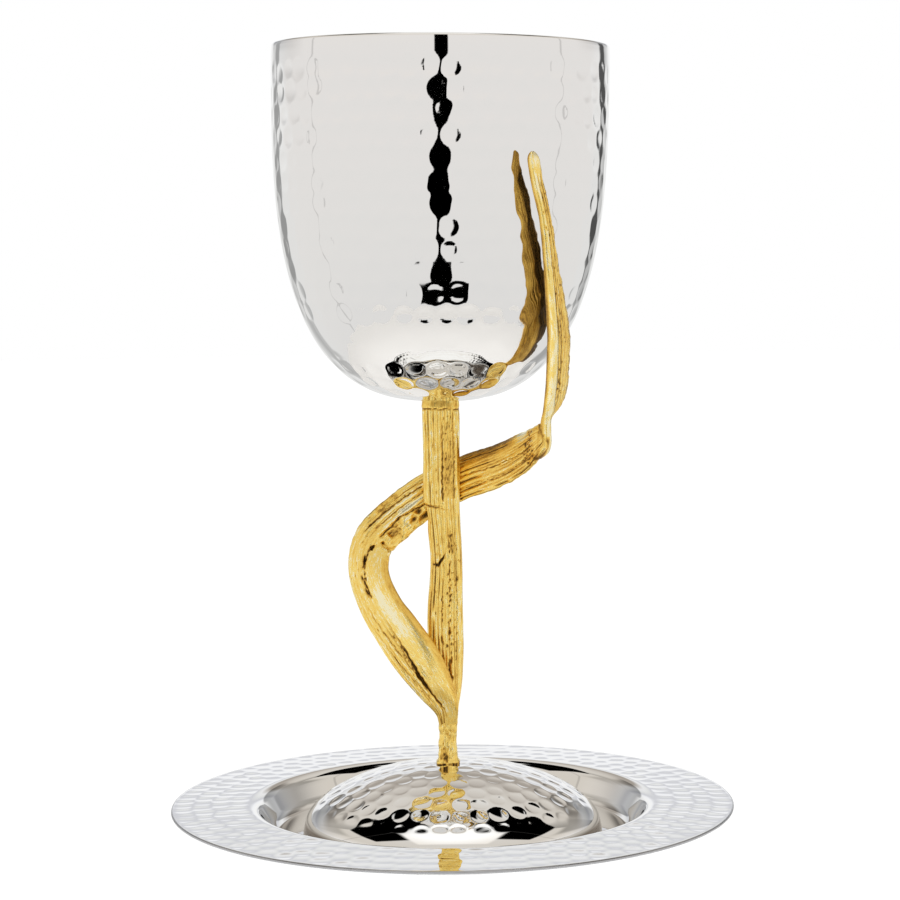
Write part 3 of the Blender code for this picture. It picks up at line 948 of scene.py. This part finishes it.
def stalkRelief(skin):
    s, q, front, height = itemgetter("s", "q", "front", "height")(skin)
    z = s + stemSetup["stalk"]["stations"][0][2]    # height over the table
    strength = within(z, 42, 125.2, 5) * (1 - 0.6 * within(z, 20, 40, 5))
    addRibs(skin, stemSetup["stalk"]["ribs"], strength, seed=3)
    # the collar under the bowl, and the groove below it
    height += 0.15 * within(z, 125.7, 129, 0.5) * (0.7 + 0.3 * noise(q * 3, z / 2, 5))
    cutGroove(skin, ((105, -1, 0.22, 0.3), (105.1, 1, 0.22, 0.3)), 0.9)
    stainPatch(skin, (105.6, 107.4), (-1, 1), 0.4, 0.32)
    # upper half: a sunk band with a ridge on its right, over a slanted seam
    stainPatch(skin, (79.5, 93), (-0.66, -0.1), 1.6, 0.42, drop=0.4)
    stainPatch(skin, (92, 102), (-0.6, -0.15), 3.0, 0.24, drop=0.15)
    ridgeSide = ((78.5, -0.04, 0.22, 0.5), (90, -0.05, 0.2, 0.45), (101, -0.06, 0.15, 0.2))
    cutGroove(skin, ridgeSide, 0.85)
    cutGroove(skin, ((79, -0.72, 0.16, 0.35), (92, -0.7, 0.15, 0.3), (104, -0.66, 0.12, 0.2)), 0.8)
    height += 0.3 * within(q, -0.98, -0.74, 0.1) * within(z, 98, 124, 4)
    seam = 77.2 - 1.1 * (1 - q) / 1.5
    above = np.clip((s - seam) / 0.5, 0, 1) * np.exp(-np.clip(s - seam, 0, 40) / 16)
    height += 0.38 * above * within(q, -0.1, 1.4, 0.25) * front
    height -= 0.55 * np.exp(-((s - 74.0) / 3.2) ** 2) * within(q, 0.82, 1.3, 0.2)
    cutGroove(skin, (
        (77.2, 1.0, 0.3, 0.5), (76.4, 0.35, 0.2, 0.35), (75.6, -0.1, 0.15, 0.2),
        (75.2, -0.5, 0.15, 0.2),
    ), 0.75)
    # lower half: a hooked crack, brown patch and columns of pits
    cutGroove(skin, (
        (59.8, 0.86, 0.2, 0.3), (59.6, 0.5, 0.32, 0.7), (60.6, 0.34, 0.3, 0.6),
        (62.6, 0.1, 0.2, 0.3),
    ), 1.0)
    stainPatch(skin, (63.5, 70), (-0.48, -0.12), 1.2, 0.5, drop=0.1)
    sinkPits(skin, ((25, -0.2), (48, -0.26), (69, -0.3)), 70, 0.42, 0.20, 0.34, 0.95, 11)
    sinkPits(skin, ((26, 0.16), (52, 0.2)), 34, 0.3, 0.18, 0.28, 0.85, 12)
    sinkPits(skin, ((25, -0.6), (66, -0.62)), 30, 0.35, 0.16, 0.2, 0.75, 13)
    sinkPits(skin, ((24, 0.45), (100, 0.5)), 34, 1.0, 0.15, 0.16, 0.6, 14)
    sinkPits(skin, ((80, -0.35), (103, -0.4)), 50, 0.7, 0.16, 0.18, 0.7, 15)
    # neck: rough from the weld, with a bead where it meets the dome
    neck = within(z, 19, 36, 4)
    height += neck * (0.16 * noise(z / 1.5, q * 2.2, 6) + 0.08 * noise(z / 0.6, q * 5, 7))
    bead = np.exp(-((z - 21.6) / 0.7) ** 2)
    height += bead * (0.28 + 0.3 * noise(z / 0.8, q * 3.1, 8))
    # darkest at the very foot where it meets the dome, and in a patch just above
    stainPatch(skin, (-1, 0.9), (-2, 2), 0.5, 1.0)
    stainPatch(skin, (1.8, 5.6), (0.0, 0.75), 0.5, 0.55)
    sinkPits(skin, ((2.4, 0.25), (4.8, 0.3)), 5, 0.4, 0.3, 0.3, 0.9, 16)
    sinkPits(skin, ((5, 0.1), (16, 0.2)), 14, 0.9, 0.16, 0.14, 0.5, 17)


def leafRelief(skin):
    s, x, q = itemgetter("s", "x", "q")(skin)
    front, height, hollow = itemgetter("front", "height", "hollow")(skin)
    split = np.interp(
        s,
        (0, 7, 12, 19, 27, 38, 51, 61, 73, 82, 90),
        (0.2, 0.2, 0.28, 0.38, 0.18, 0.1, 0.2, -0.1, -0.05, -0.27, -1.2),
    )
    outer = np.clip((q - split) / 0.08, 0, 1)
    inner = (1 - outer) * within(s, -5, 64, 4)
    rough = (1 - outer) * within(s, 62, 84, 3) * front
    smoother = 0.7 * outer * within(s, 34, 66, 8)
    strength = np.where(front > 0.5, 1 - 0.9 * inner - 0.75 * rough - smoother, 0.8)
    addRibs(skin, stemSetup["leaf"]["ribs"], strength, seed=21)
    # lower curl: a smooth rounded inner band, and the deep groove beside it
    rounded = 1 - ((q - (split - 1) / 2) / ((split + 1) / 2)) ** 2
    height += 0.45 * np.clip(rounded, 0, 1) * within(s, 6, 50, 8) * (1 - outer) * front
    cutGroove(skin, (
        (46, 0.12, 0.12, 0.06), (38, 0.12, 0.15, 0.1), (33, 0.13, 0.2, 0.2), (26, 0.22, 0.3, 0.4),
        (20, 0.35, 0.4, 0.85), (14, 0.35, 0.26, 0.5), (8, 0.22, 0.18, 0.28), (5, 0.1, 0.12, 0.12),
    ), 0.95)
    sinkPits(skin, ((16, 0.36), (24, 0.3), (36, 0.2)), 26, 0.3, 0.2, 0.25, 0.8, 20)
    cutGroove(skin, ((13, 0.5, 0.12, 0.2), (30, 0.45, 0.16, 0.35), (48, 0.55, 0.14, 0.1)), 0.8)
    cutGroove(skin, ((12, 0.75, 0.12, 0.25), (28, 0.72, 0.14, 0.28), (44, 0.8, 0.12, 0.08)), 0.7)
    # the turn: a line of pits that opens into a crack, with rough metal below it
    turnLine = ((46, 0.2), (51, 0.22), (55, 0.15), (58, 0.12), (61, -0.08))
    sinkPits(skin, turnLine, 36, 0.35, 0.26, 0.45, 1.0, 22)
    cutGroove(skin, (
        (65, -0.1, 0.14, 0.2), (66.3, -0.12, 0.2, 0.4), (70, -0.13, 0.22, 0.55),
        (73.3, -0.05, 0.2, 0.5), (78, -0.2, 0.18, 0.4), (81.8, -0.3, 0.22, 0.45),
    ), 0.95)
    cutGroove(skin, ((60.2, -0.06, 0.3, 0.7), (61.8, -0.1, 0.24, 0.5)), 1.0)
    lumps = 0.24 * noise(s / 1.4, x / 1.2, 23) + 0.12 * noise(s / 0.6, x / 0.6, 24)
    height += rough * (lumps - 0.35)
    darken(skin, rough * np.clip(0.02 - 1.1 * lumps, 0, 0.3))
    stainPatch(skin, (67.6, 71.6), (-0.62, -0.22), 1.2, 0.8, drop=0.7)
    holes = ((79.0, -0.34, 0.7), (80.2, -0.75, 0.9), (76.4, -0.6, 0.4), (64.2, -0.4, 0.35))
    for at, share, size in holes:
        sinkPits(skin, ((at, share), (at + 0.1, share)), 2, 0.2, size, 0.9, 1.0, int(at))
    stainPatch(skin, (69.5, 77.5), (0.62, 1.1), 1.4, 0.5, drop=0.1)
    cutGroove(skin, ((64, 0.62, 0.2, 0.4), (72, 0.58, 0.26, 0.5), (84, 0.5, 0.22, 0.45)), 0.95)
    cutGroove(skin, ((66, 0.3, 0.16, 0.35), (86, 0.22, 0.18, 0.4)), 0.85)
    # the ribbon behind the stalk: its top third leans back and is painted darker there, painted
    # shade where it turns from the light, and pits line the stalk's edge
    lean = np.clip((q - 0.3) / 0.7, 0, 1) * within(s, 88, 132, 6) * front
    darken(skin, 0.62 * lean ** 0.7 * within(s, 88, 119, 10))
    for share in np.linspace(-0.9, 0.85, 12):
        seed = 100 + int(share * 40)
        sinkPits(skin, ((92.6, share), (92.9, share)), 1, 0.12, 0.26, 0.35, 1.0, seed)
    cutGroove(skin, ((94, 0.1, 0.14, 0.3), (110, 0.02, 0.16, 0.35), (126, -0.1, 0.14, 0.3)), 0.85)
    cutGroove(skin, ((93, -0.5, 0.12, 0.25), (112, -0.52, 0.14, 0.3), (124, -0.5, 0.16, 0.35)), 0.8)
    sinkPits(skin, ((119, -0.9), (128, 0.6)), 26, 1.4, 0.24, 0.3, 0.85, 27)
    # edges worn uneven
    edge = np.clip((np.abs(q) - 0.8) / 0.2, 0, 1)
    worn = 0.14 * noise(s / 3.1, q, 28) + 0.1 * noise(s / 1.1, q, 29)
    height += edge * worn * within(s, 58, 132, 6)
    # painted reflection: the curl's inner edge a deeper orange, for light thrown onto it from the
    # stalk
    hollow += 0.27 * within(q, -1.2, -0.74, 0.15) * within(s, 6, 58, 5) * front
    shadeBack(skin, 0.25)
    sinkPits(skin, ((12, 0.5), (50, 0.6), (90, 0.3)), 70, 1.4, 0.13, 0.14, 0.6, 30)
    # painted highlights: the colour made paler where highlights fall
    paintedHighlight = 0.24 * within(q, split - 0.6, split - 0.2, 0.25) * within(s, 32, 49, 6)
    paintedHighlight = np.maximum(paintedHighlight, 0.18 * within(q, -0.05, 0.7, 0.3) * within(s, 66, 88, 7))
    paintedHighlight = np.maximum(paintedHighlight, 0.4 * within(s, 119, 125, 4) * within(q, 0.5, 1.2, 0.3))
    paintedHighlight = np.maximum(paintedHighlight, 0.06 * within(s, 6, 88, 6))
    hollow -= front * paintedHighlight


def bladeRelief(skin):
    s, x, q = itemgetter("s", "x", "q")(skin)
    front, height, hollow = itemgetter("front", "height", "hollow")(skin)
    # a smooth rounded strip runs up the near edge, wider towards the tip
    start = np.interp(s, (0, 16, 33, 49, 77, 84, 92), (-1.5, 0.35, 0.42, 0.42, 0.3, -0.3, -1.5))
    strip = np.clip((q - start) / 0.12, 0, 1)
    strength = np.where(front > 0.5, 1 - 0.92 * strip, 0.85) * within(s, 12, 95, 4)
    addRibs(skin, stemSetup["blade"]["ribs"], strength, seed=51)
    rounded = 1 - ((q - (start + 1) / 2) / ((1 - start) / 2)) ** 2
    height += 0.22 * np.clip(rounded, 0, 1) * strip * front * within(s, 10, 88, 6)
    cutGroove(skin, (
        (84, 0.35, 0.1, 0.15), (77.5, 0.42, 0.2, 0.45), (64, 0.38, 0.26, 0.6), (49, 0.4, 0.28, 0.6),
        (42, 0.42, 0.16, 0.3), (20, 0.34, 0.14, 0.25),
    ), 0.95)
    face = (1 - strip) * front * within(s, 10, 84, 5)
    grain = 0.07 * noise(s / 0.7, x / 0.45, 52)
    height += face * grain
    darken(skin, face * np.clip(0.08 - 3 * grain, 0, 0.4))
    sinkPits(skin, ((18, 0.1), (40, 0.0), (80, 0.1)), 90, 1.6, 0.16, 0.2, 0.8, 53)
    sinkPits(skin, ((16, 0.22), (30, 0.25)), 22, 0.5, 0.2, 0.3, 0.95, 54)
    sinkPits(skin, ((46, -0.75), (80, -0.6)), 26, 0.5, 0.22, 0.3, 0.95, 55)
    shadeBack(skin, 0.42)
    # painted shade: the far half of the back darkest
    farBack = (1 - front) * within(q, -1.5, -0.2, 0.5) * within(s, 14, 88, 8)
    darken(skin, 0.9 * farBack)
    edge = np.clip((-q - 0.75) / 0.25, 0, 1)
    height += edge * (0.22 * noise(s / 2.6, q, 56) + 0.12 * noise(s / 1.0, q, 57))
    # painted highlights: paler on the near strip and at both ends
    paintedHighlight = 0.08 * strip * within(q, 0.45, 1.1, 0.2) * within(s, 10, 84, 6)
    paintedHighlight = np.maximum(paintedHighlight, 0.14 * within(s, -1.5, 10, 1.5))
    paintedHighlight = np.maximum(paintedHighlight, 0.2 * within(s, 87, 96, 3))
    hollow -= front * paintedHighlight


def makeStrip(name, strip, relief):
    along, route = routeOf(strip["stations"], strip["rows"])
    along = along - strip.get("lead", 0.0)
    middle = route[:, :3]
    forward = np.gradient(middle, axis=0)
    if strip.get("level"):
        forward = np.tile((0.0, 0.0, 1.0), (len(route), 1))
    forward /= np.linalg.norm(forward, axis=1, keepdims=True)
    facing = np.radians(route[:, 5])
    normal = np.stack([np.sin(facing), -np.cos(facing), 0 * facing], 1)
    normal -= forward * (normal * forward).sum(1, keepdims=True)
    normal /= np.linalg.norm(normal, axis=1, keepdims=True)
    across = np.cross(normal, forward)
    width, thick, fold = route[:, 3], route[:, 4].copy(), route[:, 6]
    shrink = np.ones_like(width)
    if strip.get("roundEnd"):
        left = np.clip((along[-1] - along) / strip["roundEnd"], 0, 1)
        shrink = np.maximum(0.12, np.sqrt(1 - (1 - left) ** 2))
        thick *= np.maximum(0.4, shrink)
    q, t = sectionShape(strip["columns"])
    u = (q * shrink[:, None] - strip.get("edgeShift", 0.0)) * width[:, None] / 2
    v = t * thick[:, None] / 2 + fold[:, None] * (np.abs(q) - 0.5)
    # the top third leans back, starting and ending over soft mm
    leanFrom, leanTo, leanDepth = strip.get("lean", (0, 1, 0))
    soft = 8
    leaning = ease(along, leanFrom, leanFrom + soft) * (1 - ease(along, leanTo - soft, leanTo))
    v = v - leanDepth * leaning[:, None] * np.clip((q - 0.3) / 0.7, 0, 1) ** 2
    grid = middle[:, None] + across[:, None] * u[..., None] + normal[:, None] * v[..., None]
    skin = startSkin(along, width, q, t)
    relief(skin)
    # the casting is a little wavy all over, no relief goes deeper than its share of the thickness,
    # and it fades out at the strip's ends
    height = skin["height"] + 0.05 * noise(skin["s"] / 3.3, skin["x"] / 2.7, 61)
    deepest = 0.42 * thick[:, None] * np.maximum(np.abs(t), 0.25)
    soft = 1.5
    fade = ease(along, along[0], along[0] + soft) * (1 - ease(along, along[-1] - soft, along[-1]))
    height = np.maximum(height, -deepest) * fade[:, None]
    grid = pushedOut(grid, height)
    ends = [np.broadcast_to(grid[i].mean(0), grid[i].shape)[None] for i in (0, -1)]
    grid = np.concatenate([ends[0], grid, ends[1]])
    attributes = {
        "hollow": skin["hollow"],
        "alongMm": skin["s"],
        "acrossMm": skin["x"] + 20 * (skin["front"] - 0.5),
    }
    for key, values in attributes.items():
        attributes[key] = np.concatenate([values[:1], values, values[-1:]])
    return meshFromGrid(name, grid * mm, attributes)


def shadeJoints(strips):
    # painted shade, with some patina, where two strips come close
    joints = stemSetup["joints"]
    reach = joints["reach"] * mm
    low, high = (height * mm for height in joints["above"])
    for strip in strips:
        others = [o for o in strips if o is not strip]
        tree = KDTree(sum(len(o.data.vertices) for o in others))
        for other in others:
            for v in other.data.vertices:
                tree.insert(v.co, 0)
        tree.balance()
        layer = strip.data.attributes["hollow"].data
        for v, cell in zip(strip.data.vertices, layer):
            apart = tree.find(v.co)[2]
            if apart < reach:
                dark = joints["dark"] * (1 - apart / reach) * ease(v.co.z, low, high)
                cell.value = max(cell.value, dark)


# what each vertex of the stem knows: its darkening by patina and painted shade, lightened where
# highlights are painted, and its place on its strip in mm
stemLayers = ("hollow", "alongMm", "acrossMm")


def joinStrips(strips, name):
    # one closed casting out of the overlapping strips
    known = KDTree(sum(len(strip.data.vertices) for strip in strips))
    values = []
    for strip in strips:
        for v in strip.data.vertices:
            known.insert(v.co, len(values))
            values.append([strip.data.attributes[key].data[v.index].value for key in stemLayers])
    known.balance()
    for branch in strips[1:]:
        join = strips[0].modifiers.new(branch.name, "BOOLEAN")
        join.operation = "UNION"
        join.solver = "EXACT"
        join.object = branch
    graph = bpy.context.evaluated_depsgraph_get()
    mesh = bpy.data.meshes.new_from_object(strips[0].evaluated_get(graph))
    for strip in strips:
        bpy.data.objects.remove(strip, do_unlink=True)
    mesh.name = name
    found = [known.find(v.co)[1] for v in mesh.vertices]
    values = np.array(values, np.float32)[found]
    for attribute in list(mesh.attributes):
        if attribute.domain == "POINT" and attribute.name != "position":
            mesh.attributes.remove(attribute)
    for i, key in enumerate(stemLayers):
        layer = mesh.attributes.new(key, "FLOAT", "POINT")
        layer.data.foreach_set("value", values[:, i].copy())
    mesh.shade_smooth()
    stem = bpy.data.objects.new(name, mesh)
    bpy.context.scene.collection.objects.link(stem)
    return stem


# Cast brass, polished on its high places and antiqued: pale yellow on the ridges, palest where
# highlights are painted, brown to black where the darkening stayed in grooves and pits and where
# shade is painted
brassSetup = {
    # the palest tone, reached where painted highlights push the darkening below 0
    "bright": "#fff6cd",
    "polished": "#ffe68b",
    "clean": "#fdd770",
    "worn": "#edc05c",
    "brown": "#ab813c",
    "dark": "#624a24",
    "deepest": "#2a1d0c",
    "roughness": (0.22, 0.5),    # ridges, grooves
    "streakWide": 0.32,          # mm across a streak of darkening
    "streakLong": 2.2,           # mm along it
    "grainSize": 0.35,           # mm, cast grain, real about 0.1 mm, drawn coarser so it shows
    "grainDepth": 0.02,          # mm
    "patchSize": 9.0,            # mm, patches of more and less darkening
    "darkening": {               # how much of each is darkened: a share of it, and what is added
        "hollow": (0.84, 0.115),
        "streaks": (0.62, -0.32),
        "grain": (0.35, -0.175),
        "patches": (0.3, -0.15),
    },
}


def makeBrass():
    b = brassSetup
    material, tree, shader, place = newMaterial("antiqued cast brass")
    shader.inputs["Metallic"].default_value = 1.0
    for key in stemLayers:
        addNode(tree, "Attribute", {"attribute_name": key, "name": key}, {})
    hollow, along, across = (tree.nodes[key].outputs["Fac"] for key in stemLayers)
    streakX = addNode(tree, "Math", multiply, (across, 1 / b["streakWide"]))
    streakY = addNode(tree, "Math", multiply, (along, 1 / b["streakLong"]))
    streakPlace = addNode(tree, "CombineXYZ", {}, {"X": streakX, "Y": streakY})
    streaks = addNode(tree, "TexNoise", {}, {"Vector": streakPlace, "Scale": 1.0, "Detail": 3.0})
    grain = addNode(tree, "TexNoise", {}, {
        "Vector": place, "Scale": 1000 / b["grainSize"], "Detail": 2.0, "Roughness": 0.6,
    })
    patches = addNode(tree, "TexNoise", {}, {
        "Vector": place, "Scale": 1000 / b["patchSize"], "Detail": 2.0,
    })
    # how much darkening is left: the patina in the hollows with the painted shade and highlights,
    # broken up by streaks, grain and patches
    shares = b["darkening"]
    mottle = addNode(tree, "Math", multiplyAdd, (streaks, *shares["streaks"]))
    speckle = addNode(tree, "Math", multiplyAdd, (grain, *shares["grain"]))
    drift = addNode(tree, "Math", multiplyAdd, (patches, *shares["patches"]))
    fine = addNode(tree, "Math", add, (mottle, speckle))
    uneven = addNode(tree, "Math", add, (fine, drift))
    lifted = addNode(tree, "Math", multiplyAdd, (hollow, *shares["hollow"]))
    left = addNode(tree, "Math", {"operation": "ADD", "use_clamp": True}, (lifted, uneven))
    tone = addNode(tree, "ValToRGB", {}, {"Fac": left})
    colourStops(tone, [
        (0.0, b["bright"]), (0.04, b["polished"]), (0.2, b["clean"]), (0.36, b["worn"]),
        (0.58, b["brown"]), (0.8, b["dark"]), (1.0, b["deepest"]),
    ])
    tree.links.new(tone, shader.inputs["Base Color"])
    rough = addNode(tree, "MapRange", {}, (left, 0.0, 1.0, *b["roughness"]))
    tree.links.new(rough, shader.inputs["Roughness"])
    bump = addNode(tree, "Bump", {}, {"Height": grain, "Distance": b["grainDepth"] * mm})
    tree.links.new(bump, shader.inputs["Normal"])
    return material


def makeStem():
    s = stemSetup
    strips = [
        makeStrip("stalk", s["stalk"], stalkRelief),
        makeStrip("leaf", s["leaf"], leafRelief),
        makeStrip("blade", s["blade"], bladeRelief),
    ]
    shadeJoints(strips)
    print("stem strips shaped")
    stem = joinStrips(strips, "leafStem")
    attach(stem, "root")
    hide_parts("leaf_stem")
    stem.data.materials.clear()
    stem.data.materials.append(makeBrass())


makeStem()
print("stem made")
